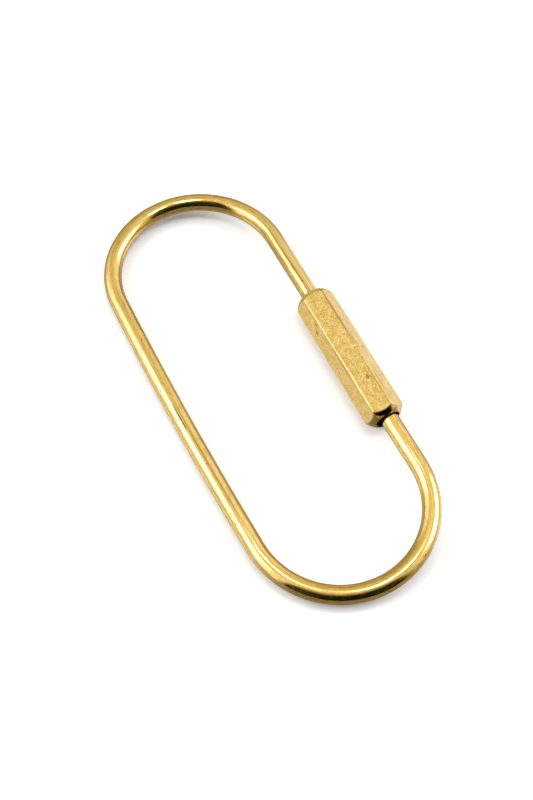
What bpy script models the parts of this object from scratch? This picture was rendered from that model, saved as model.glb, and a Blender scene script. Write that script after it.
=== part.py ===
# Screw-lock key ring: one bent brass rod, closed by a hexagonal sleeve.
# The rod is an oval with a gap in one long side. Its two threaded ends meet
# inside the sleeve. The sleeve is tapped at its upper end only, so when it is
# unscrewed from the upper end it travels down onto the lower one and the gap
# opens. The part lies as it rests on a table: on its back leg and on one
# corner of the sleeve.
#
# Metres, +Z up. The oval's long side runs along Y and the sleeve is at +X.

import math

import bmesh
import bpy
from mathutils import Matrix, Vector

COLLECTION = "screw_lock_key_ring"

# Rod
WIRE_D = 0.0030
HALF_STRAIGHT = 0.0244        # from the middle of the oval to each bend's centre
TOP_BEND_R = 0.01485          # to the rod's centreline
BOTTOM_BEND_R = 0.01455
BACK_BOW = 0.00042            # how far the back leg bulges out

# Sleeve
SLEEVE_LENGTH = 0.0262
FREE_WIRE = 0.00895           # straight rod left bare below the sleeve
BORE_CLEARANCE = 0.0004       # between the rod and the sleeve's plain bore
SLEEVE_WALL = 0.0011          # at the middle of a flat
RIM_CHAMFER = 0.00015         # at the mouths of the bore
RIM_LAND = 0.00015            # flat ring between the mouth and the end chamfer
CHAMFER_DEPTH = 0.0013        # of the end chamfer, at the hexagon's corners
CHAMFER_CROWN = 0.0001        # how far the end chamfer bulges
RIDGE_ROUND = 0.00018         # rounding of the six long edges
SLEEVE_DROOP = 0.00028        # play that the lower mouth hangs off the rod's axis
SLEEVE_ROLL = math.radians(12.1)

# Threaded ends, as plain turned cores
THREAD_DEPTH = 0.00035
THREAD_GAP = 0.0004           # between a core and the tapped bore
THREAD_ENGAGED = 0.0060       # upper end, screwed into the sleeve
TAPPED_LENGTH = 0.0065
OPEN_GAP = 0.0040             # clear gap with the sleeve run down
TIP_SINK = 0.0005             # lower tip below the sleeve's face, run down
TIP_CHAMFER = 0.0004
NECK = 0.0003                 # run-out between full rod and core

# Fineness
BEND_SEGMENTS = 32
BACK_SEGMENTS = 10
WIRE_BEVEL_RESOLUTION = 8
TURNED_STEPS = 64
CHAMFER_STEPS = 5
RIDGE_SEGMENTS = 3

OVERRUN = 0.001               # by which every cutter passes what it cuts
WELD = 0.00001                # points closer than this are one

# Sizes that follow
WIRE_R = WIRE_D / 2
CORE_R = WIRE_R - THREAD_DEPTH
TAPPED_R = CORE_R + THREAD_GAP
BORE_R = WIRE_R + BORE_CLEARANCE
FLAT_R = BORE_R + SLEEVE_WALL
CORNER_R = FLAT_R / math.cos(math.pi / 6)
END_FACE_R = BORE_R + RIM_CHAMFER + RIM_LAND
SLEEVE_TOP = FREE_WIRE + SLEEVE_LENGTH - HALF_STRAIGHT
TRAVEL = THREAD_ENGAGED + OPEN_GAP
UPPER_TIP = SLEEVE_TOP - THREAD_ENGAGED
LOWER_TIP = SLEEVE_TOP - TRAVEL - TIP_SINK
LOWER_CORE_END = SLEEVE_TOP - TRAVEL - TAPPED_LENGTH - NECK


def clear_scene():
    for obj in list(bpy.data.objects):
        bpy.data.objects.remove(obj, do_unlink=True)


def new_collection(name):
    collection = bpy.data.collections.new(name)
    bpy.context.scene.collection.children.link(collection)
    return collection


def brass(name, colour, roughness):
    material = bpy.data.materials.new(name)
    material.use_nodes = True
    shader = material.node_tree.nodes["Principled BSDF"]
    shader.inputs["Base Color"].default_value = (*colour, 1.0)
    shader.inputs["Roughness"].default_value = roughness
    shader.inputs["Metallic"].default_value = 1.0
    return material


# Rod

def arc(centre, radius, start, end, segments):
    """Points from the start angle to the end angle, both included."""
    points = []
    for step in range(segments + 1):
        angle = start + (end - start) * step / segments
        points.append(centre + radius * Vector((math.cos(angle), math.sin(angle))))
    return points


def back_arc():
    """Centre and radius of the wide arc that both bends run into."""
    top = Vector((-TOP_BEND_R, HALF_STRAIGHT))
    bottom = Vector((-BOTTOM_BEND_R, -HALF_STRAIGHT))
    radius = (2 * HALF_STRAIGHT) ** 2 / (8 * BACK_BOW)
    from_top = radius - TOP_BEND_R
    from_bottom = radius - BOTTOM_BEND_R
    between = bottom - top
    along = (from_top ** 2 - from_bottom ** 2 + between.length_squared) / (2 * between.length)
    across = math.sqrt(from_top ** 2 - along ** 2)
    direction = between.normalized()
    normal = Vector((-direction.y, direction.x))
    return top + direction * along + normal * across, radius


def heading(direction):
    """Angle from +X, between zero and a full turn."""
    return math.atan2(direction.y, direction.x) % (2 * math.pi)


def bow_route():
    """The rod's centreline from the upper tip to the lower one, with its radius."""
    centre, back_r = back_arc()
    top = Vector((-TOP_BEND_R, HALF_STRAIGHT))
    bottom = Vector((-BOTTOM_BEND_R, -HALF_STRAIGHT))
    top_end = heading(top - centre)
    bottom_start = heading(bottom - centre)

    tip_r = CORE_R - TIP_CHAMFER
    route = [
        (Vector((0, UPPER_TIP)), tip_r),
        (Vector((0, UPPER_TIP + TIP_CHAMFER)), CORE_R),
        (Vector((0, SLEEVE_TOP)), CORE_R),
        (Vector((0, SLEEVE_TOP + NECK)), WIRE_R),
    ]
    bends = arc(top, TOP_BEND_R, 0, top_end, BEND_SEGMENTS)
    bends += arc(centre, back_r, top_end, bottom_start, BACK_SEGMENTS)[1:-1]
    bends += arc(bottom, BOTTOM_BEND_R, bottom_start, 2 * math.pi, BEND_SEGMENTS)
    route += [(point, WIRE_R) for point in bends]
    route += [
        (Vector((0, LOWER_CORE_END)), WIRE_R),
        (Vector((0, LOWER_CORE_END + NECK)), CORE_R),
        (Vector((0, LOWER_TIP - TIP_CHAMFER)), CORE_R),
        (Vector((0, LOWER_TIP)), tip_r),
    ]
    return route


def make_bow(collection, parent):
    curve = bpy.data.curves.new("bow", "CURVE")
    curve.dimensions = "3D"
    curve.bevel_depth = WIRE_R
    curve.bevel_resolution = WIRE_BEVEL_RESOLUTION
    curve.use_fill_caps = True
    route = bow_route()
    spline = curve.splines.new("POLY")
    spline.points.add(len(route) - 1)
    for point, (place, radius) in zip(spline.points, route):
        point.co = (place.x, place.y, 0, 1)
        point.radius = radius / WIRE_R
    curve.materials.append(brass("drawn_brass", (0.80, 0.57, 0.22), 0.24))
    bow = bpy.data.objects.new("bow", curve)
    bow.parent = parent
    collection.objects.link(bow)
    return bow


# Sleeve, upright on its own axis with its upper face at zero

def turned(name, profile, collection):
    """A solid turned about Z from (radius, height) points, top to bottom."""
    mesh = bpy.data.meshes.new(name)
    points = [(radius, 0, height) for radius, height in profile]
    mesh.from_pydata(points, [(i, i + 1) for i in range(len(points) - 1)], [])
    obj = bpy.data.objects.new(name, mesh)
    collection.objects.link(obj)
    screw = obj.modifiers.new("turn", "SCREW")
    screw.steps = TURNED_STEPS
    screw.render_steps = TURNED_STEPS
    screw.use_merge_vertices = True
    screw.merge_threshold = WELD
    obj.hide_render = True
    obj.display_type = "WIRE"
    return obj


def chamfer_points():
    """The crowned chamfer as (radius, depth below the end face) points."""
    reach_r = CORNER_R + OVERRUN
    slope = CHAMFER_DEPTH / (CORNER_R - END_FACE_R)
    lean = math.atan(slope)
    points = []
    for step in range(CHAMFER_STEPS + 1):
        share = step / CHAMFER_STEPS
        bulge = CHAMFER_CROWN * 4 * share * (1 - share)
        radius = END_FACE_R + (CORNER_R - END_FACE_R) * share + bulge * math.sin(lean)
        depth = CHAMFER_DEPTH * share - bulge * math.cos(lean)
        points.append((radius, depth))
    points.append((reach_r, CHAMFER_DEPTH + (reach_r - CORNER_R) * slope))
    return points


def envelope_profile():
    top = [(0, 0)] + [(radius, -depth) for radius, depth in chamfer_points()]
    bottom = [(radius, -SLEEVE_LENGTH - height) for radius, height in reversed(top)]
    return top + bottom


def bore_profile():
    """Tapped part above, plain bore below, with a drill's cone between them."""
    cone = BORE_R - TAPPED_R
    foot = -SLEEVE_LENGTH
    return [
        (0, OVERRUN),
        (TAPPED_R + RIM_CHAMFER + OVERRUN, OVERRUN),
        (TAPPED_R, -RIM_CHAMFER),
        (TAPPED_R, -TAPPED_LENGTH),
        (BORE_R, -TAPPED_LENGTH - cone),
        (BORE_R, foot + RIM_CHAMFER),
        (BORE_R + RIM_CHAMFER + OVERRUN, foot - OVERRUN),
        (0, foot - OVERRUN),
    ]


def hex_bar():
    """Hexagonal bar with its six long edges rounded and a flat on +Y."""
    mesh = bpy.data.meshes.new("hex_sleeve")
    bar = bmesh.new()
    bmesh.ops.create_cone(bar, cap_ends=True, segments=6, radius1=CORNER_R,
                          radius2=CORNER_R, depth=SLEEVE_LENGTH + 2 * OVERRUN)
    bmesh.ops.rotate(bar, verts=bar.verts, matrix=Matrix.Rotation(math.pi / 6, 3, "Z"))
    bmesh.ops.translate(bar, verts=bar.verts, vec=(0, 0, -SLEEVE_LENGTH / 2))
    ridges = [e for e in bar.edges if abs(e.verts[0].co.z - e.verts[1].co.z) > OVERRUN]
    bmesh.ops.bevel(bar, geom=ridges, offset=RIDGE_ROUND, segments=RIDGE_SEGMENTS,
                    profile=0.5, affect="EDGES")
    bar.to_mesh(mesh)
    bar.free()
    return mesh


def cut(obj, tool, operation):
    boolean = obj.modifiers.new(operation.lower(), "BOOLEAN")
    boolean.operation = operation
    boolean.solver = "EXACT"
    boolean.object = tool


def make_sleeve(collection, cutters, axis):
    mesh = hex_bar()
    mesh.materials.append(brass("tumbled_brass", (0.78, 0.57, 0.28), 0.42))
    sleeve = bpy.data.objects.new("hex_sleeve", mesh)
    collection.objects.link(sleeve)
    envelope = turned("end_chamfers", envelope_profile(), cutters)
    bore = turned("stepped_bore", bore_profile(), cutters)
    for obj in (sleeve, envelope, bore):
        obj.parent = axis
    cut(sleeve, envelope, "INTERSECT")
    cut(sleeve, bore, "DIFFERENCE")
    mesh.shade_smooth()
    mesh.set_sharp_from_angle(angle=math.radians(25))
    return sleeve


# How the part lies

def resting_tilt():
    """Tilt about Y that puts the back leg and the sleeve's corner on the table.

    The table touches two circles seen along Y: the rod in the back leg, and
    the rounding of the sleeve's lowest long edge.
    """
    centre, back_r = back_arc()
    back_x = centre.x - back_r
    edge_round_r = RIDGE_ROUND / math.tan(math.pi / 6)
    edge_r = CORNER_R - edge_round_r / math.cos(math.pi / 6)
    edge_angle = math.pi / 6 - SLEEVE_ROLL
    edge_x = -SLEEVE_DROOP / 2 - edge_r * math.sin(edge_angle)
    edge_z = -edge_r * math.cos(edge_angle)
    between = Vector((edge_x - back_x, edge_z))
    lean = math.atan2(between.y, between.x)
    return -(lean + math.asin((WIRE_R - edge_round_r) / between.length))


def settle(objects, frame):
    """Move the frame so that the whole part's bottom centre is the origin."""
    bpy.context.view_layer.update()
    graph = bpy.context.evaluated_depsgraph_get()
    low = Vector((math.inf,) * 3)
    high = Vector((-math.inf,) * 3)
    for obj in objects:
        shape = obj.evaluated_get(graph)
        mesh = shape.to_mesh()
        for vertex in mesh.vertices:
            place = shape.matrix_world @ vertex.co
            low = Vector(map(min, low, place))
            high = Vector(map(max, high, place))
        shape.to_mesh_clear()
    frame.location = (-(low.x + high.x) / 2, -(low.y + high.y) / 2, -low.z)
    bpy.context.view_layer.update()


def new_empty(name, collection):
    empty = bpy.data.objects.new(name, None)
    collection.objects.link(empty)
    return empty


def main():
    clear_scene()
    parts = new_collection(COLLECTION)
    cutters = new_collection("cutters")

    ring_frame = new_empty("ring_frame", parts)
    ring_frame.rotation_euler = (0, -resting_tilt(), 0)
    bow = make_bow(parts, ring_frame)

    # The slide's axis is the rod's own axis, at the sleeve's upper mouth. The
    # sleeve stands on it with its length along Y and hangs off it by its play.
    slide_axis = new_empty("slide_axis", parts)
    slide_axis.parent = ring_frame
    slide_axis.location = (0, SLEEVE_TOP, 0)
    lay_along_y = Matrix.Rotation(-math.pi / 2, 4, "X")
    roll = Matrix.Rotation(-SLEEVE_ROLL, 4, "Y")
    droop = Matrix.Rotation(-math.asin(SLEEVE_DROOP / SLEEVE_LENGTH), 4, "Z")
    slide_axis.rotation_euler = (droop @ roll @ lay_along_y).to_euler()
    sleeve = make_sleeve(parts, cutters, slide_axis)

    settle((bow, sleeve), ring_frame)
    print("sleeve travel", round(TRAVEL, 6), "tilt", round(math.degrees(resting_tilt()), 3))


main()
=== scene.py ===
# Looks for a screw-lock key ring: a bent brass rod, and the hexagonal sleeve that closes it.
# The oval lies in a plane of its own, tilted a little, because the sleeve is thicker than the rod.
# Each mesh keeps, in its "place" attribute, where a point was on the straight rod or the upright
# sleeve, so the grain and the wear in the materials follow the metal round the bends.

import math

import bpy
import numpy as np
from mathutils import Matrix, Quaternion, Vector


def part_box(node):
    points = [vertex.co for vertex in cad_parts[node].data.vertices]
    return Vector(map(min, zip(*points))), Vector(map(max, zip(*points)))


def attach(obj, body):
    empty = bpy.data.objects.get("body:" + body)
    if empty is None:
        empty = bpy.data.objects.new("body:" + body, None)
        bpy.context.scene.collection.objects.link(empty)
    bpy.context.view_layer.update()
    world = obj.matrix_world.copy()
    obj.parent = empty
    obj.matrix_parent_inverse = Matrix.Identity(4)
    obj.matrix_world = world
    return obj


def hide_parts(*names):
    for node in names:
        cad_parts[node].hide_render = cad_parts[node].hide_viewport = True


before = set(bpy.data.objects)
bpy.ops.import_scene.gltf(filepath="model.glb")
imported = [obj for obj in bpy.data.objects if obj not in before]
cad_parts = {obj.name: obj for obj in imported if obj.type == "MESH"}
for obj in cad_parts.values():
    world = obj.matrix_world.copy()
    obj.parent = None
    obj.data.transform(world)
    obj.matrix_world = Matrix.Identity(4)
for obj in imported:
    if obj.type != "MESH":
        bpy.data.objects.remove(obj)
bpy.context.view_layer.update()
mm = 0.001
white = (1, 1, 1, 1)
print("frame loaded:", ", ".join(sorted(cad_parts)))


# Camera and light

view = {
    "lens": 48.1,                      # in mm
    "longSide": 36,                    # of the film, in mm
    "near": 10 * mm,
    "far": 10,                         # in metres
    "aim": (-2.15 * mm, -3.82 * mm, 3.04 * mm),
    "distance": 172.8 * mm,
    "azimuth": -32.9,                  # degrees from the front, towards the left
    "elevation": 60.8,
    "roll": 6.29,                      # degrees about the line of sight
}


def towards(azimuth, elevation):
    # unit direction, azimuth 0 at the front, which is -Y
    turn, rise = math.radians(azimuth), math.radians(elevation)
    return Vector((math.sin(turn) * math.cos(rise), -math.cos(turn) * math.cos(rise), math.sin(rise)))


def makeCamera():
    data = bpy.data.cameras.new("camera")
    data.lens = view["lens"]
    data.sensor_width = view["longSide"]
    data.clip_start = view["near"]
    data.clip_end = view["far"]
    camera = bpy.data.objects.new("camera", data)
    bpy.context.scene.collection.objects.link(camera)
    back = towards(view["azimuth"], view["elevation"])
    camera.location = Vector(view["aim"]) + back * view["distance"]
    level = (-back).to_track_quat("-Z", "Y")
    camera.rotation_mode = "QUATERNION"
    camera.rotation_quaternion = level @ Quaternion((0, 0, 1), math.radians(view["roll"]))
    bpy.context.scene.camera = camera


# Node trees: a Value is one output socket, and sums on it add Math nodes

noiseMiddle = 0.5                      # the level that a noise swings about


class Value:
    def __init__(self, look, socket):
        self.look = look
        self.socket = socket

    def math(self, operation, first, second):
        return self.look.node("ShaderNodeMath", {"operation": operation}, {0: first, 1: second})

    def __add__(self, other):
        return self.math("ADD", self, other)

    def __sub__(self, other):
        return self.math("SUBTRACT", self, other)

    def __rsub__(self, other):
        return self.math("SUBTRACT", other, self)

    def __mul__(self, other):
        return self.math("MULTIPLY", self, other)

    __radd__ = __add__
    __rmul__ = __mul__

    def swing(self, weight):
        # a noise as a change up and down
        return (self - noiseMiddle) * weight


class Look:
    # builds one node tree, of a material or of the world
    def __init__(self, owner):
        owner.use_nodes = True
        self.tree = owner.node_tree
        self.tree.nodes.clear()

    def node(self, kind, settings=None, sockets=None, out=0):
        made = self.tree.nodes.new(kind)
        for key, value in (settings or {}).items():
            setattr(made, key, value)
        for key, value in (sockets or {}).items():
            if isinstance(value, Value):
                self.tree.links.new(value.socket, made.inputs[key])
            else:
                made.inputs[key].default_value = value
        return Value(self, made.outputs[out]) if len(made.outputs) else made

    def vector(self, operation, first, second, out=0):
        return self.node("ShaderNodeVectorMath", {"operation": operation}, {0: first, 1: second}, out)

    def length(self, vector):
        return self.node("ShaderNodeVectorMath", {"operation": "LENGTH"}, {0: vector}, out=1)

    def part(self, vector, axis):
        # x, y or z of a vector, by axis 0 to 2
        return self.node("ShaderNodeSeparateXYZ", {}, {0: vector}, out=axis)

    def noise(self, place, grains, detail, roughness):
        # with so many grains per millimetre along x, y and z of the piece
        scaled = self.vector("MULTIPLY", place, tuple(g / mm for g in grains))
        return self.node("ShaderNodeTexNoise", {}, {
            "Vector": scaled, "Scale": 1.0, "Detail": detail, "Roughness": roughness})

    def ramp(self, value, low, high, toLow=0.0, toHigh=1.0, smooth=True):
        kind = "SMOOTHSTEP" if smooth else "LINEAR"
        return self.node("ShaderNodeMapRange", {"interpolation_type": kind}, {
            "Value": value, "From Min": low, "From Max": high, "To Min": toLow, "To Max": toHigh})

    def mix(self, share, first, second, blend="MIX"):
        # colours, by share from first to second
        return self.node("ShaderNodeMix", {"data_type": "RGBA", "blend_type": blend},
                         {0: share, 6: first, 7: second}, out=2)

    def tint(self, value):
        # a grey colour from a number
        return self.node("ShaderNodeCombineColor", {}, {0: value, 1: value, 2: value})

    def lightPath(self, kind):
        return self.node("ShaderNodeLightPath", out=kind)


room = {
    "dark": -20,                       # azimuth of the unlit side, behind and below the camera
    "darkHalf": (46, 55),              # degrees to each side of it: dark up to, lit again from
    "darkTop": (50, 92),               # elevation, the same
    "darkLevel": 0.005,
    "wallLevel": 0.45,                 # the lit room at the horizon
    "ceilingLevel": 0.86,
    "wallTop": (15, 72),               # elevations between which it brightens
    "glows": ((88, 14, 0.46), (-113, 12, 0.85)),    # azimuth, elevation and level of brighter walls
    "glowReach": (20, 62),             # degrees from its middle: full up to, nothing from
    "warm": (1.0, 0.92, 0.52, 1),      # the dim walls, as the metal mirrors them
    "warmUpTo": (0.5, 1.1),            # level where the warmth starts to go, and has gone
}
lamps = {
    "right_softbox": {
        "azimuth": 77, "elevation": 32, "distance": 0.60, "size": (0.38, 0.34), "level": 3.1},
    "left_softbox": {
        "azimuth": -112, "elevation": 38, "distance": 0.60, "size": (0.38, 0.33), "level": 3.1},
    "left_bulb": {
        "azimuth": -167, "elevation": 84, "distance": 0.20, "size": (0.030, 0.030), "level": 9.5},
    "right_bulb": {
        "azimuth": 88, "elevation": 79, "distance": 0.21, "size": (0.030, 0.030), "level": 9.0},
}


def makeWorld():
    world = bpy.data.worlds.new("room")
    bpy.context.scene.world = world
    look = Look(world)
    direction = look.node("ShaderNodeTexCoord")
    flat = look.vector("MULTIPLY", direction, (1, 1, 0))
    heading = look.node("ShaderNodeVectorMath", {"operation": "NORMALIZE"}, {0: flat})
    facing = look.vector("DOT_PRODUCT", heading, tuple(towards(room["dark"], 0)), out=1)
    up = look.part(direction, 2)
    elevation = look.node("ShaderNodeMath", {"operation": "ARCSINE"}, {0: up}) * math.degrees(1)
    aside = look.node("ShaderNodeMath", {"operation": "ARCCOSINE"}, {0: facing}) * math.degrees(1)
    dark = look.ramp(aside, *room["darkHalf"], 1, 0) * look.ramp(elevation, *room["darkTop"], 1, 0)
    levels = room["wallLevel"], room["ceilingLevel"]
    strength = look.ramp(elevation, *room["wallTop"], *levels, smooth=False)
    near, far = (math.cos(math.radians(angle)) for angle in room["glowReach"])
    for azimuth, rise, level in room["glows"]:
        away = look.vector("DOT_PRODUCT", direction, tuple(towards(azimuth, rise)), out=1)
        strength = strength + look.ramp(away, far, near) * level
    strength = strength + (room["darkLevel"] - strength) * dark
    warmth = look.ramp(strength, *room["warmUpTo"], 1, 0) * look.lightPath("Is Glossy Ray")
    tone = look.mix(warmth, white, room["warm"])
    colour = look.mix(1.0, look.tint(strength), tone, "MULTIPLY")
    shown = look.mix(look.lightPath("Is Camera Ray"), colour, white)
    background = look.node("ShaderNodeBackground", {}, {"Color": shown})
    look.node("ShaderNodeOutputWorld", {}, {"Surface": background})


def makeLamps():
    for name, lamp in lamps.items():
        data = bpy.data.lights.new(name, "AREA")
        data.shape = "RECTANGLE"
        data.size, data.size_y = lamp["size"]
        data.energy = lamp["level"] * math.pi * data.size * data.size_y
        light = bpy.data.objects.new(name, data)
        bpy.context.scene.collection.objects.link(light)
        back = towards(lamp["azimuth"], lamp["elevation"])
        light.location = back * lamp["distance"]
        light.rotation_mode = "QUATERNION"
        light.rotation_quaternion = (-back).to_track_quat("-Z", "Y")


table = {
    "radius": 1.5,
    "sides": 96,
    "below": 0.02 * mm,
    "colour": (0.25, 0.228, 0.15, 1),  # as the brass mirrors it
    "sheen": 0.24,                     # share that mirrors, in the brass only
    "sheenRoughness": 0.35,
    "exposed": (1.165, 1.18, 1.20, 1),     # as the camera sees it, burnt out where no shadow falls
    "fade": (0.15, 0.45),              # from the middle, where the camera sees it turn plain white
}


def makeTable():
    mesh = bpy.data.meshes.new("table")
    radius, sides, height = table["radius"], table["sides"], -table["below"]
    turns = [2 * math.pi * i / sides for i in range(sides)]
    points = [(radius * math.cos(t), radius * math.sin(t), height) for t in turns]
    mesh.from_pydata(points, [], [list(range(sides))])
    top = bpy.data.objects.new("table", mesh)
    bpy.context.scene.collection.objects.link(top)
    material = bpy.data.materials.new("white_sweep")
    mesh.materials.append(material)
    look = Look(material)
    camera = look.lightPath("Is Camera Ray")
    colour = look.mix(camera, table["colour"], table["exposed"])
    paper = look.node("ShaderNodeBsdfDiffuse", {}, {"Color": colour})
    sheen = look.node("ShaderNodeBsdfAnisotropic", {}, {
        "Color": white, "Roughness": table["sheenRoughness"]})
    both = look.node("ShaderNodeMixShader", {}, {0: (1 - camera) * table["sheen"], 1: paper, 2: sheen})
    distance = look.length(look.node("ShaderNodeTexCoord", out="Object"))
    blank = look.node("ShaderNodeEmission", {}, {"Color": white, "Strength": 1.0})
    far = look.ramp(distance, *table["fade"]) * camera
    shown = look.node("ShaderNodeMixShader", {}, {0: far, 1: both, 2: blank})
    look.node("ShaderNodeOutputMaterial", {}, {"Surface": shown})


bpy.context.scene.view_settings.view_transform = "Standard"
makeCamera()
makeWorld()
makeLamps()
makeTable()
print("camera, room, lamps and table made")


# Finishes. A noise has its grains per mm along x, y and z of the piece's place, its detail and its
# roughness. A ramp has its start and its end, and then its levels there if they aren't 0 and 1.
# The small dictionaries say how much each thing adds.

brass = {
    "filmRoughness": 0.1,
    "specular": 0.25,
    "bumpStrength": 1.0,
    "markCore": 0.45,                  # share of a mark's half width that it stains in full
}
drawn = {
    "colour": (1.0, 0.70, 0.24, 1),
    "tarnish": (0.50, 0.305, 0.04, 1),
    "stain": (0.16, 0.09, 0.01, 1),
    "handledSheen": (1.0, 0.86, 0.52, 1),   # painted sheen: the outer side above the sleeve, coloured paler to stand in for the brighter sheen it shows
    "roughness": 0.11,
    "satinRoughness": 0.42,
    "satin": 0.06,                     # share of the surface that isn't polished
    "lineDepth": 0.08 * mm,
    "film": 0.6,                       # weight of the thin clear film on it
    "lines": ((2.4, 2.4, 0.03), 2, 0.5),
    "streaks": ((2.4, 2.4, 0.16), 3, 0.5),
    "speckle": ((3.2, 3.2, 0.9), 3, 0.65),
    "cloud": ((0.35, 0.35, 0.16), 3, 0.5),
    "handledFrom": (5.9 * mm, 6.3 * mm),        # along the rod from its upper tip
    "handledTo": (12 * mm, 28 * mm, 1, 0),
    "linesTo": (18 * mm, 32 * mm, 1, 0.25),     # past it the bending has blurred them
    "outerSide": (-0.5 * mm, 0.5 * mm),         # across the rod, away from the oval
    "linesLeft": (0.42, 0.56, 1, 0.4),          # the draw lines are rubbed less
    "lineDulls": (0.42, 0.58, 0, 0.8),
    "streakDulls": (0.48, 0.62, 0, 0.3),
    "speckleDulls": (0.42, 0.62, 0, 0.45),
    "cloudDulls": 0.4,
    "tint": {"dull": 0.7, "rubbedAndSheen": 0.85},
    "roughen": {"rubbedAndSheen": 0.10, "streaks": 0.16, "speckle": 0.20},
    "relief": {"streaks": 0.12, "speckle": 0.04, "marks": 0.25},
    "moreSatin": {"speckle": 0.4, "dull": 0.10, "rubbedAndSheen": 0.80},
    "rubbedSatin": {"rougher": 0.12, "lessMetallic": 0.9},
}
tumbled = {
    "colour": (0.90, 0.64, 0.30, 1),
    "tarnish": (0.56, 0.37, 0.05, 1),
    "worn": (1.0, 0.78, 0.46, 1),      # along the edges
    "outerSheen": (0.96, 0.76, 0.45, 1),     # painted sheen: the side face away from the oval, coloured paler to stand in for its whitish sheen
    "innerLitTone": (1.0, 0.72, 0.25, 1),     # painted light: the side face towards the oval, in a more yellow tone set for how that face is lit
    "metallic": 0.30,
    "stain": (0.25, 0.15, 0.03, 1),
    # painted shade: the bore's inside is coloured near black
    "bore": (0.015, 0.010, 0.006, 1),
    "roughness": 0.55,
    "turnedRoughness": 0.10,
    "grainDepth": 0.02 * mm,
    "blotches": ((0.9, 0.9, 0.7), 3, 0.6),
    "grain": ((4.4, 4.4, 3.8), 2, 0.7),
    "lines": ((3, 3, 0.20), 2, 0.5),
    "side": (1.7 * mm, 2.0 * mm),      # across the sleeve from its middle, where a side face starts
    "blotchPatches": (0.36, 0.64, 0, 0.38),
    "grainPatches": (0.38, 0.62, 0, 0.72),
    "linePatches": 0.5,
    "patchMiddle": 0.55,
    "dull": 0.69,                      # share of tarnish at that middle
    "sideContrast": 0.8,               # how much more the side faces vary
    "sidesPaintedLighter": 0.30,                 # painted light: how much less tarnish the side faces get, so they come out lighter, about as bright as the middle face
    "burrStain": (0.45, 0.75, 0, 0.75),
    "wornEdge": (0.55, 0.95, 0, 0.3),
    "brightEdge": (0.80, 1.0),
    "brightLines": (0.3, 0.6, 0.15, 0.6),
    "tint": {"outer": 0.35, "inner": 0.30},
    "roughen": {"grain": 0.3, "patches": 0.06},
    "relief": {"grain": 0.8, "lines": 0.3, "blotches": 0.8, "marks": 0.8},
    "turnedOff": 0.95,                 # share of the relief that turning takes off
}
# marks that darken the colour: middle and half widths in the piece's place, in mm, and strength
sleeveMarks = {
    "dark_spot": ((0.53, -3.0, -19.2), (0.38, 0.4, 0.52), 0.80),
    "right_ridge_line": ((1.64, -3.0, -6.0), (0.20, 0.3, 9.5), 0.72),
    "right_ridge_scratch": ((2.02, -2.5, -12.0), (0.12, 0.2, 3.6), 0.5),
    "lower_ridge_line": ((1.36, -3.0, -19.0), (0.12, 0.3, 6.0), 0.40),
    "lower_ridge_scratch": ((1.92, -2.66, -20.5), (0.12, 0.2, 4.5), 0.35),
    "left_ridge_line": ((-1.86, -2.78, -15.0), (0.15, 0.15, 5.5), 0.85),
    "dent_upper": ((-2.16, -2.26, -6.2), (0.17, 0.25, 0.55), 0.75),
    "dent_lower": ((-2.58, -1.53, -7.2), (0.26, 0.36, 0.55), 0.75),
    "squiggle": ((2.80, -1.15, -13.4), (0.16, 0.25, 0.55), 0.7),
}
rodMarks = {
    "pit_1": ((-0.3, 1.47, 75.2), (0.15, 0.2, 0.3), 0.9),
    "pit_2": ((0.92, 1.19, 85.4), (0.15, 0.2, 0.3), 0.9),
    "pit_3": ((0.14, 1.49, 100.3), (0.14, 0.2, 0.22), 0.75),
    "pit_4": ((-0.31, 1.47, 8.8), (0.15, 0.2, 0.3), 0.85),
    "pit_5": ((-0.33, 1.46, 12.1), (0.14, 0.2, 0.25), 0.85),
    "pit_6": ((0.15, 1.49, 161.6), (0.14, 0.2, 0.22), 0.8),
    "pit_7": ((1.07, 1.05, 145.2), (0.14, 0.2, 0.3), 0.7),
    "pit_8": ((0.31, 1.47, 142.3), (0.12, 0.2, 0.2), 0.5),
    "draw_line_1": ((-0.44, 1.43, 16), (0.13, 0.3, 15), 0.4),
    "draw_line_2": ((0.10, 1.49, 14), (0.12, 0.3, 12), 0.35),
    "draw_line_3": ((-1.16, 0.95, 16), (0.12, 0.25, 15), 0.5),
    "draw_line_4": ((0.62, 1.37, 13), (0.11, 0.3, 11), 0.35),
    "draw_line_5": ((0.98, 1.13, 15), (0.10, 0.3, 12), 0.35),
    "draw_line_6": ((-0.08, 1.49, 101), (0.17, 0.3, 15), 0.5),
    "draw_line_7": ((-0.39, 1.45, 190), (0.16, 0.3, 10), 0.7),
    "draw_line_8": ((0.13, 1.49, 190), (0.14, 0.3, 10), 0.6),
    "scratch": ((0.20, 1.49, 91.2), (0.17, 0.3, 3.2), 0.95),
    "nick_upper": ((0.85, 1.23, 109.5), (0.15, 0.2, 0.5), 0.9),
    "nick_lower": ((1.0, 1.12, 111.2), (0.15, 0.2, 0.4), 0.9),
}


def placeOf(look):
    return look.node("ShaderNodeAttribute", {"attribute_name": "place"}, out=1)


def factorOf(look, name):
    return look.node("ShaderNodeAttribute", {"attribute_name": name}, out=2)


def metal(look, colour, roughness, normal, metallic=1.0, film=0.0):
    return look.node("ShaderNodeBsdfPrincipled", {}, {
        "Base Color": colour, "Metallic": metallic, "Roughness": roughness, "Normal": normal,
        "Coat Weight": film, "Coat Roughness": brass["filmRoughness"],
        "Specular IOR Level": brass["specular"]})


def bumpOf(look, height, depth):
    return look.node("ShaderNodeBump", {}, {
        "Strength": brass["bumpStrength"], "Distance": depth, "Height": height})


def marksOn(look, place, marks):
    # how strongly the marks stain a place, 0 to 1
    total = 0.0
    for middle, reach, strength in marks.values():
        away = look.vector("SUBTRACT", place, tuple(m * mm for m in middle))
        inside = look.vector("MULTIPLY", away, tuple(1 / (r * mm) for r in reach))
        total = look.ramp(look.length(inside), brass["markCore"], 1, strength, 0) + total
    return total


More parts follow.
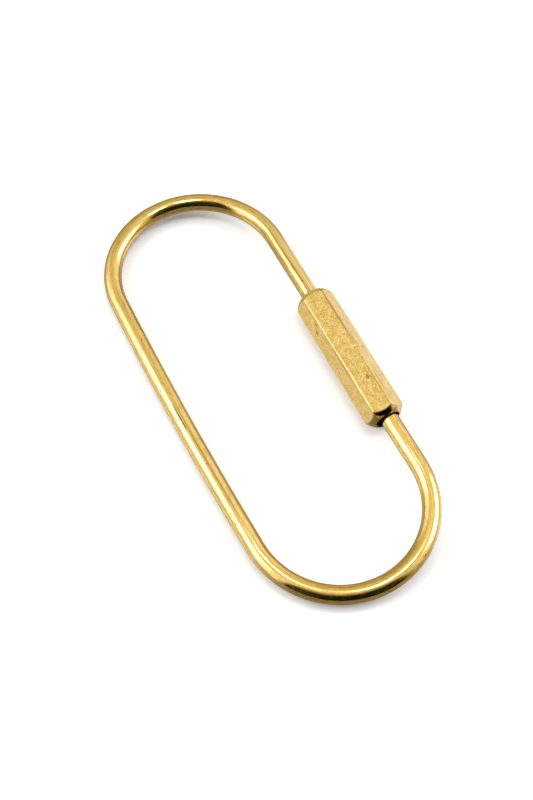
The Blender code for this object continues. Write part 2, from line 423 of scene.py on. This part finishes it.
def drawnBrass():
    material = bpy.data.materials.new("drawn_brass_finish")
    look = Look(material)
    place = placeOf(look)
    names = ("lines", "streaks", "speckle", "cloud")
    lines, streaks, speckle, cloud = (look.noise(place, *drawn[name]) for name in names)
    outward, along = look.part(place, 0), look.part(place, 2)
    straight = look.ramp(along, *drawn["linesTo"])
    dull = look.ramp(lines, *drawn["lineDulls"]) * straight + look.ramp(streaks, *drawn["streakDulls"])
    dull = dull + look.ramp(speckle, *drawn["speckleDulls"]) + cloud.swing(drawn["cloudDulls"])
    # the rubbed outer side above the sleeve: real wear, rougher and less metallic, and also the mask of a
    # painted paler sheen
    upper = look.ramp(along, *drawn["handledFrom"]) * look.ramp(along, *drawn["handledTo"])
    rubbedAndSheen = upper * look.ramp(outward, *drawn["outerSide"]) * look.ramp(lines, *drawn["linesLeft"])
    marks = marksOn(look, place, rodMarks)
    tint = drawn["tint"]
    colour = look.mix(dull * tint["dull"] * (1 - rubbedAndSheen), drawn["colour"], drawn["tarnish"])
    # painted sheen: the rubbed part is coloured paler, standing in for the brighter light it reflects
    colour = look.mix(rubbedAndSheen * tint["rubbedAndSheen"], colour, drawn["handledSheen"])
    colour = look.mix(marks, colour, drawn["stain"])
    relief = drawn["relief"]
    height = lines * straight + streaks * relief["streaks"] + speckle * relief["speckle"]
    normal = bumpOf(look, height - marks * relief["marks"], drawn["lineDepth"])
    roughen = drawn["roughen"]
    rough = streaks.swing(roughen["streaks"]) + speckle.swing(roughen["speckle"])
    rough = rough + rubbedAndSheen * roughen["rubbedAndSheen"]
    polished = metal(look, colour, rough + drawn["roughness"], normal, film=drawn["film"])
    rubbedSatin = drawn["rubbedSatin"]
    soft = rough + rubbedAndSheen * rubbedSatin["rougher"] + drawn["satinRoughness"]
    satin = metal(look, colour, soft, normal, 1 - rubbedAndSheen * rubbedSatin["lessMetallic"])
    more = drawn["moreSatin"]
    share = speckle.swing(more["speckle"]) + dull * more["dull"] + rubbedAndSheen * more["rubbedAndSheen"] + drawn["satin"]
    both = look.node("ShaderNodeMixShader", {}, {0: share, 1: polished, 2: satin})
    look.node("ShaderNodeOutputMaterial", {}, {"Surface": both})
    return material


def tumbledBrass():
    material = bpy.data.materials.new("tumbled_brass_finish")
    look = Look(material)
    place = placeOf(look)
    edge, turned, inside, burr = (factorOf(look, name) for name in ("edge", "turned", "inside", "burr"))
    names = ("blotches", "grain", "lines")
    blotches, grain, lines = (look.noise(place, *tumbled[name]) for name in names)
    tint, roughen, relief = tumbled["tint"], tumbled["roughen"], tumbled["relief"]
    across = look.part(place, 0)
    low, high = tumbled["side"]
    outer, inner = look.ramp(across, low, high), look.ramp(across, -high, -low, 1, 0)
    sides = outer + inner
    patches = look.ramp(blotches, *tumbled["blotchPatches"]) + look.ramp(grain, *tumbled["grainPatches"])
    patches = patches + lines.swing(tumbled["linePatches"])
    contrast = sides * tumbled["sideContrast"] + 1
    # painted light: the side faces get less tarnish, lightening them to even out how they are lit
    dull = (patches - tumbled["patchMiddle"]) * contrast + tumbled["dull"] - sides * tumbled["sidesPaintedLighter"]
    marks = marksOn(look, place, sleeveMarks) + look.ramp(burr, *tumbled["burrStain"])
    colour = look.mix(dull, tumbled["colour"], tumbled["tarnish"])
    # painted sheen: the outer side face is coloured paler
    colour = look.mix(outer * tint["outer"], colour, tumbled["outerSheen"])
    # painted light: the inner side face gets its own more yellow tone, set for how it is lit
    colour = look.mix(inner * tint["inner"], colour, tumbled["innerLitTone"])
    colour = look.mix(look.ramp(edge, *tumbled["wornEdge"]), colour, tumbled["worn"])
    colour = look.mix(marks, colour, tumbled["stain"])
    # painted shade: inside the bore the colour goes near black
    colour = look.mix(inside, colour, tumbled["bore"])
    matte = grain.swing(roughen["grain"]) + patches * roughen["patches"] + tumbled["roughness"]
    ridges = look.ramp(edge, *tumbled["brightEdge"]) * look.ramp(lines, *tumbled["brightLines"])
    bright = ridges * (1 - marks) * (1 - turned) + turned
    roughness = matte + (tumbled["turnedRoughness"] - matte) * bright
    height = grain * relief["grain"] + lines * relief["lines"] + blotches * relief["blotches"]
    height = (height - marks * relief["marks"]) * (1 - turned * tumbled["turnedOff"])
    normal = bumpOf(look, height, tumbled["grainDepth"])
    metallic = tumbled["metallic"] + bright * (1 - tumbled["metallic"])
    surface = metal(look, colour, roughness, normal, metallic)
    look.node("ShaderNodeOutputMaterial", {}, {"Surface": surface})
    return material


# Meshes from rings of points

sharpAngle = 50                        # degrees between faces, from which their edge looks sharp


def ringMesh(name, rows, place, body, stands, material, closed=False, values=None):
    # rows is an array of rings, each with the same count of points round the piece
    count, sides = rows.shape[:2]
    index = np.arange(count * sides).reshape(count, sides)
    ahead = np.roll(index, -1, axis=1)
    if closed:
        upper, upperAhead = np.roll(index, -1, axis=0), np.roll(ahead, -1, axis=0)
        quads = np.stack([index, ahead, upperAhead, upper], axis=-1)
    else:
        quads = np.stack([index[:-1], ahead[:-1], ahead[1:], index[1:]], axis=-1)
    faces = quads.reshape(-1, 4).tolist()
    if not closed:
        faces.append(index[0, ::-1].tolist())
        faces.append(index[-1].tolist())
    mesh = bpy.data.meshes.new(name)
    mesh.from_pydata(rows.reshape(-1, 3).tolist(), [], faces)
    mesh.attributes.new("place", "FLOAT_VECTOR", "POINT").data.foreach_set("vector", place.ravel())
    for key, value in (values or {}).items():
        mesh.attributes.new(key, "FLOAT", "POINT").data.foreach_set("value", value.ravel())
    mesh.shade_smooth()
    mesh.set_sharp_from_angle(angle=math.radians(sharpAngle))
    mesh.materials.append(material)
    piece = bpy.data.objects.new(name, mesh)
    bpy.context.scene.collection.objects.link(piece)
    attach(piece, body)
    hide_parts(stands)
    print(name, "made:", len(faces), "faces")


# The thread, M3: rod and sleeve share its helix, which runs along the rod's own length

thread = {
    "pitch": 0.5 * mm,
    "slope": math.sqrt(3),             # of its flanks, radius over length
    "rodCrest": 1.45 * mm,
    "rodRoot": 1.17 * mm,
    "rodFlat": 0.0625 * mm,            # width of the rod's crests
    "boreRoot": 1.55 * mm,
    "boreCrest": 1.27 * mm,
    "boreFlat": 0.125 * mm,
    "boreShift": 0.5,                  # pitches from the rod's crests to the bore's
    "rows": 20,                        # rings of points in one pitch
}


def fromCrest(along, turn, shift=0.0):
    # distance along the axis to the nearest crest, for a right-hand thread about the axis
    cycles = along / thread["pitch"] - turn / (2 * math.pi) + shift
    return np.abs(cycles - np.round(cycles)) * thread["pitch"]


def rodThread(along, turn):
    away = fromCrest(along, turn) - thread["rodFlat"] / 2
    fall = np.maximum(away, 0) * thread["slope"]
    return np.maximum(thread["rodCrest"] - fall, thread["rodRoot"])


def boreThread(along, turn):
    away = fromCrest(along, turn, thread["boreShift"]) - thread["boreFlat"] / 2
    rise = np.maximum(away, 0) * thread["slope"]
    return np.minimum(thread["boreCrest"] + rise, thread["boreRoot"])


# Bow: the bent rod

rod = {
    "radius": 1.5 * mm,
    "halfStraight": 24.4 * mm,         # middle of the oval to each bend's centre
    "topBend": 14.85 * mm,             # to the rod's own middle
    "bottomBend": 14.55 * mm,
    "backBow": 0.42 * mm,              # how far the back leg bulges out
    "upperTip": 4.75 * mm,             # this and the next three: heights from the oval's middle
    "upperShoulder": 10.75 * mm,
    "lowerTip": 0.25 * mm,
    "lowerShoulder": -6.05 * mm,
    "neck": 0.3 * mm,                  # from the thread out to the full rod
    "tipRadius": 0.8 * mm,
    "step": 0.35 * mm,                 # between the plain rod's rings of points
    "sides": 72,
}


def ovalArcs():
    # upper bend, back leg and lower bend, each with its centre, radius, first and last angle
    half, topR, bottomR = rod["halfStraight"], rod["topBend"], rod["bottomBend"]
    top, bottom = np.array((-topR, half)), np.array((-bottomR, -half))
    backR = (2 * half) ** 2 / (8 * rod["backBow"])
    between = bottom - top
    gap = np.hypot(*between)
    along = ((backR - topR) ** 2 - (backR - bottomR) ** 2 + gap ** 2) / (2 * gap)
    across = math.sqrt((backR - topR) ** 2 - along ** 2)
    way = between / gap
    back = top + way * along + np.array((-way[1], way[0])) * across
    topEnd, bottomStart = (math.atan2(*(c - back)[::-1]) % (2 * math.pi) for c in (top, bottom))
    return [
        (top, topR, 0.0, topEnd),
        (back, backR, topEnd, bottomStart),
        (bottom, bottomR, bottomStart, 2 * math.pi),
    ]


def bentLength():
    # from the upper tip to the end of the lower bend
    length = rod["halfStraight"] - rod["upperTip"]
    for _, radius, low, high in ovalArcs():
        length += radius * (high - low)
    return length


def onOval(distance):
    # middle of the rod and its outward direction, at distances from the upper tip
    points = np.zeros((len(distance), 2))
    outward = np.zeros((len(distance), 2))
    start = rod["halfStraight"] - rod["upperTip"]
    on = distance <= start
    points[on, 1] = rod["upperTip"] + distance[on]
    outward[on] = (1, 0)
    for centre, radius, low, high in ovalArcs():
        length = radius * (high - low)
        on = (distance > start) & (distance <= start + length)
        angle = low + (distance[on] - start) / radius
        ray = np.stack([np.cos(angle), np.sin(angle)], axis=1)
        points[on] = centre + radius * ray
        outward[on] = ray
        start += length
    on = distance > start
    points[on, 1] = -rod["halfStraight"] + distance[on] - start
    outward[on] = (1, 0)
    return points, outward


def rodRadius(height, turn):
    # height is along the straight that holds both threaded ends
    threaded = rodThread(height, turn)
    upper = height > rod["lowerTip"] + rod["step"]
    up = (height - rod["upperShoulder"]) / rod["neck"]
    down = (rod["lowerShoulder"] + rod["neck"] - height) / rod["neck"]
    share = np.clip(np.where(upper, up, down), 0, 1)
    full = threaded + (rod["radius"] - threaded) * share
    fromTip = np.where(upper, height - rod["upperTip"], rod["lowerTip"] - height)
    return np.minimum(full, rod["tipRadius"] + fromTip)


def ringPlane():
    # the oval's own plane: its z is square to it, and its origin is on the sleeve's side
    low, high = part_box("bow")
    spread = rod["topBend"] + rod["bottomBend"] + rod["backBow"]    # from leg to leg
    tilt = math.asin((high.z - low.z - 2 * rod["radius"]) / spread)
    origin = Vector((high.x - rod["radius"],
                     high.y - rod["radius"] - rod["topBend"] - rod["halfStraight"],
                     high.z - rod["radius"]))
    return Matrix.Translation(origin) @ Matrix.Rotation(-tilt, 4, "Y")


def intoFrame(matrix, points):
    turn = np.array(matrix.to_3x3())
    return points @ turn.T + np.array(matrix.translation)


def makeBow(material):
    fine = thread["pitch"] / thread["rows"]
    total = bentLength() + rod["halfStraight"] + rod["lowerTip"]
    upperEnd = rod["upperShoulder"] + rod["neck"] - rod["upperTip"]
    lowerEnd = total - (rod["lowerTip"] - rod["lowerShoulder"])
    distance = np.concatenate([
        np.arange(0, upperEnd, fine),
        np.linspace(upperEnd, lowerEnd, round((lowerEnd - upperEnd) / rod["step"])),
        np.arange(total, lowerEnd + fine / 2, -fine)[::-1],
    ])
    points, outward = onOval(distance)
    turn = np.linspace(0, 2 * math.pi, rod["sides"], endpoint=False)
    height = np.where(distance < upperEnd, rod["upperTip"] + distance,
                      np.where(distance > lowerEnd, distance - total + rod["lowerTip"], 0))
    ends = (distance < upperEnd) | (distance > lowerEnd)
    radius = np.full((len(distance), rod["sides"]), rod["radius"])
    radius[ends] = rodRadius(height[ends, None], turn[None, :])
    out, up = np.sin(turn), np.cos(turn)
    rows = np.zeros((len(distance), rod["sides"], 3))
    rows[..., :2] = points[:, None] + outward[:, None] * (radius * out)[..., None]
    rows[..., 2] = radius * up
    along = np.broadcast_to(distance[:, None], radius.shape)
    place = np.stack([radius * out, radius * up, along], axis=-1)
    placed = intoFrame(ringPlane(), rows)
    ringMesh("bent_rod", placed, place, "ring", "bow", material)


makeBow(drawnBrass())


# Sleeve: a hexagonal bar with turned ends, tapped above and bored below

sixth = math.pi / 3                    # turn from one flat of a hexagon to the next
sleeve = {
    "top": 10.75 * mm,                 # upper face, from the middle of the oval
    "length": 26.2 * mm,
    "flat": 3.0 * mm,                  # middle to a flat
    "ridgeRound": 0.18 * mm,           # of the long edges, along each flat
    "faceRadius": 2.2 * mm,            # flat ring at each end
    "chamferDepth": 1.3 * mm,          # at the corners
    "chamferCrown": 0.1 * mm,
    "chamferRound": 0.06 * mm,         # between chamfer and flat
    "rimRound": 0.03 * mm,
    "bore": 1.9 * mm,
    "mouth": 0.15 * mm,                # chamfer at each mouth
    "tapped": 6.5 * mm,
    "roll": 12.1,                      # degrees about the rod
    "droop": 0.28 * mm,                # that the lower mouth hangs off the rod's axis
    "wearReach": 0.30 * mm,            # from an edge
    "burrReach": 0.35 * mm,            # from the upper chamfer's edge
    "upperTurned": 0.2,                # how bright the upper chamfer is beside the lower one
    "flatSpots": (0.25, 0.5, 0.7, 0.84, 0.93, 0.985),      # points on half a flat, closer by the edge
    "cornerSteps": 6,
    "roundSteps": 4,
    "crownSpots": (0.25, 0.5, 0.75),   # points across a chamfer
    "intoBore": 3,                     # mouths deep, where an end's line starts
    "sideStart": 0.4 * mm,             # of the side that an end's line takes
    "sideRows": 60,
    "boreRows": 12,
}


def hexOutline():
    # points round the bar with rounded corners, and how near each is to a long edge
    flat, cut = sleeve["flat"], sleeve["ridgeRound"]
    half = flat * math.tan(sixth / 2)
    roundR = cut / math.tan(sixth / 2)
    spots = [-s for s in reversed(sleeve["flatSpots"])] + [0, *sleeve["flatSpots"]]
    points, near = [], []
    for side in range(6):
        facing = sixth * (side + 0.5)  # a flat faces along y
        ray = np.array((math.cos(facing), math.sin(facing)))
        along = np.array((-ray[1], ray[0]))
        for spot in spots:
            points.append(ray * flat + along * spot * (half - cut))
            near.append(max(0, 1 - (half - abs(spot) * (half - cut)) / sleeve["wearReach"]))
        centre = ray * (flat - roundR) + along * (half - cut)
        for step in range(sleeve["cornerSteps"] + 1):
            angle = facing + sixth * step / sleeve["cornerSteps"]
            points.append(centre + roundR * np.array((math.cos(angle), math.sin(angle))))
            near.append(1)
    return np.array(points), np.array(near)


def rounded(points, radii):
    # corners of a (radius, depth) line, each turned into an arc
    steps = sleeve["roundSteps"]
    line = [np.array(points[0])]
    for before, corner, after, radius in zip(points, points[1:], points[2:], radii):
        before, corner, after = map(np.array, (before, corner, after))
        inward = (before - corner) / np.hypot(*(before - corner))
        onward = (after - corner) / np.hypot(*(after - corner))
        half = math.acos(np.clip(inward @ onward, -1, 1)) / 2
        reach = radius / math.tan(half)
        middle = corner + (inward + onward) / np.hypot(*(inward + onward)) * radius / math.sin(half)
        first, last = corner + inward * reach - middle, corner + onward * reach - middle
        for step in range(steps + 1):
            ray = first + (last - first) * step / steps
            line.append(middle + ray / np.hypot(*ray) * radius)
    line.append(np.array(points[-1]))
    return line


def cornerR():
    return sleeve["flat"] / math.cos(sixth / 2)


def chamferDepth(radius):
    return sleeve["chamferDepth"] * (radius - sleeve["faceRadius"]) / (cornerR() - sleeve["faceRadius"])


def endLine(outer, boreR):
    # one end, from inside the bore out over the face and the chamfer to the bar's side
    face, mouth = sleeve["faceRadius"], sleeve["mouth"]
    fall = chamferDepth(outer)
    lean = math.atan2(fall, outer - face)
    crown = sleeve["chamferCrown"] * (outer - face) / (cornerR() - face)
    chamfer = []
    for share in sleeve["crownSpots"]:
        bulge = 4 * crown * share * (1 - share)     # a parabola, as high as the crown
        chamfer.append((face + (outer - face) * share + bulge * math.sin(lean),
                        fall * share - bulge * math.cos(lean)))
    corners = [(boreR, sleeve["intoBore"] * mouth), (boreR, mouth), (boreR + mouth, 0), (face, 0),
               *chamfer, (outer, fall), (outer, fall + sleeve["sideStart"])]
    soft, rim = sleeve["chamferRound"], sleeve["rimRound"]
    return rounded(corners, [rim, rim, rim, soft, soft, soft, soft])


def sleeveColumn(outer, turn):
    # the closed section at one angle: down the outside and up through the bore
    length, bore, tapR = sleeve["length"], sleeve["bore"], thread["boreRoot"]
    top = endLine(outer, tapR)
    foot = [(r, length - d) for r, d in endLine(outer, bore)][::-1]
    side = [(outer, d) for d in np.linspace(top[-1][1], foot[0][1], sleeve["sideRows"])[1:-1]]
    cone = bore - tapR
    plain = [(bore, d) for d in np.linspace(foot[-1][1], sleeve["tapped"] + cone, sleeve["boreRows"])[1:]]
    fine = thread["pitch"] / thread["rows"]
    depth = np.arange(sleeve["tapped"], top[0][1] + fine / 2, -fine)
    fade = np.clip(np.minimum(sleeve["tapped"] - depth, depth - top[0][1]) / thread["pitch"], 0, 1)
    cut = tapR + (boreThread(sleeve["top"] - depth, turn) - tapR) * fade
    return np.array([*top, *side, *foot, *plain, *zip(cut, depth)])


def sleeveAxis():
    # upright sleeve onto the rod: its z along the rod, its origin at the upper face
    lay = Matrix.Rotation(-math.pi / 2, 4, "X")
    roll = Matrix.Rotation(-math.radians(sleeve["roll"]), 4, "Y")
    droop = Matrix.Rotation(-math.asin(sleeve["droop"] / sleeve["length"]), 4, "Z")
    return ringPlane() @ Matrix.Translation((0, sleeve["top"], 0)) @ droop @ roll @ lay


def makeSleeve(material):
    outline, near = hexOutline()
    outer = np.hypot(*outline.T)
    angle = np.arctan2(outline[:, 1], outline[:, 0])
    # the thread's turn is measured from the oval's z towards its x, about the rod
    turn = math.pi / 2 - math.radians(sleeve["roll"]) - angle
    columns = np.stack([sleeveColumn(o, t) for o, t in zip(outer, turn)], axis=1)
    radius, depth = columns[..., 0], columns[..., 1]
    ray = outline / outer[:, None]
    rows = np.stack([radius * ray[:, 0], radius * ray[:, 1], -depth], axis=-1)
    height = sleeve["length"] - depth  # above the lower face
    fall = chamferDepth(outer)
    fromUpper, fromLower = np.abs(depth - fall), np.abs(height - fall)
    ends = np.minimum(fromUpper, fromLower)
    outside = radius > sleeve["faceRadius"] - sleeve["rimRound"]
    edge = np.where(outside, np.maximum(near[None, :], 1 - ends / sleeve["wearReach"]), 0)
    cut = fall - sleeve["chamferRound"] / 2
    values = {
        "edge": np.clip(edge, 0, 1),
        "turned": sleeve["upperTurned"] * (depth < cut) + (height < cut),
        "burr": np.clip(1 - fromUpper / sleeve["burrReach"], 0, 1) * outside,
        "inside": 1.0 - outside,
    }
    placed = intoFrame(sleeveAxis(), rows)
    ringMesh("hex_sleeve_shell", placed, rows, "sleeve", "hex_sleeve", material,
             closed=True, values=values)


makeSleeve(tumbledBrass())
